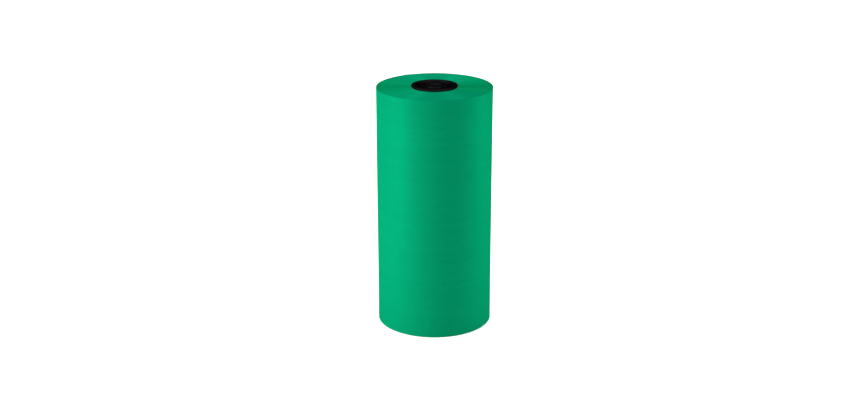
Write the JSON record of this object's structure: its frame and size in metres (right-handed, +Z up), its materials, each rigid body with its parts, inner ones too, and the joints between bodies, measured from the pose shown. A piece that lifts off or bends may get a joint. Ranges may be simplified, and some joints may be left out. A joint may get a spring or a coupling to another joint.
{
  "type": "paper roll",
  "caption": "Upright roll of coloured paper wound on a board core, with a black push-in plug at each core end, a bore for a crossbar and a loose tail.",
  "frame": {"origin": "centre of the paper's bottom end, which the roll stands on", "axes": "+Z up along the roll's axis, -Y towards the viewer, +X to the viewer's right"},
  "size_m": [0.216, 0.216, 0.4605],
  "materials": {
    "green_paper": "matte",
    "seal_tape": "satin",
    "core_board": "matte",
    "start_tape": "satin",
    "plug_plastic": "satin"
  },
  "bodies": {
    "roll": {"wound_paper": "green_paper", "outer_turn": "green_paper", "core_tube": "core_board", "start_tape": "start_tape"},
    "tail": {"paper_tail": "green_paper", "seal_tape": "seal_tape"},
    "top_plug": {"top_core_plug": "plug_plastic"},
    "bottom_plug": {"bottom_core_plug": "plug_plastic"}
  },
  "joints": [
    {"name": "tail_peel", "type": "hinge", "parent": "roll", "child": "tail", "pos_m": [-0.00339, 0.10795, 0.2286], "axis": [0, 0, -1], "range_deg": [0, 75], "stiffness_Nm_per_rad": 0.004},
    {"name": "top_plug_pull", "type": "slide", "parent": "roll", "child": "top_plug", "axis": [0, 0, 1], "range_m": [0, 0.036]},
    {"name": "bottom_plug_pull", "type": "slide", "parent": "roll", "child": "bottom_plug", "axis": [0, 0, -1], "range_m": [0, 0.036]}
  ]
}
